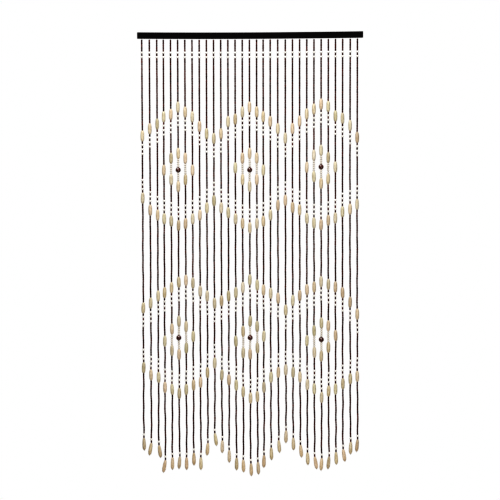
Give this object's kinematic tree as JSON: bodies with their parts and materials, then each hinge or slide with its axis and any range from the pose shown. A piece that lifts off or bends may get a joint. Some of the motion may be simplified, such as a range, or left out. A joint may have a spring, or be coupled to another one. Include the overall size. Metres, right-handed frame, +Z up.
{
  "type": "bead curtain",
  "caption": "Doorway curtain of hanging strings of dark, white and long natural wooden beads in a diamond pattern, under a black slat, with wooden drops at a zigzag hem.",
  "frame": {"origin": "middle of the slat's top edge, halfway through its depth, where the curtain is hung", "axes": "+X to the right of someone who faces the curtain, +Y to the back, +Z up; the strings hang down along -Z"},
  "size_m": [0.9, 0.0228, 1.769],
  "materials": {
    "black_slat": "black satin paint over straight-grained wood",
    "dark_bead": "dark brown stain, satin",
    "natural_wood": "pale natural wood with fine streaks, clear satin lacquer",
    "white_bead": "ivory white, soft gloss",
    "round_bead": "red-brown stain under gloss lacquer",
    "thread": "clear nylon line"
  },
  "bodies": {
    "root": {"header_slat": "black_slat", "strings_left": "dark_bead", "strings_middle": "dark_bead", "strings_right": "dark_bead"}
  },
  "joints": []
}
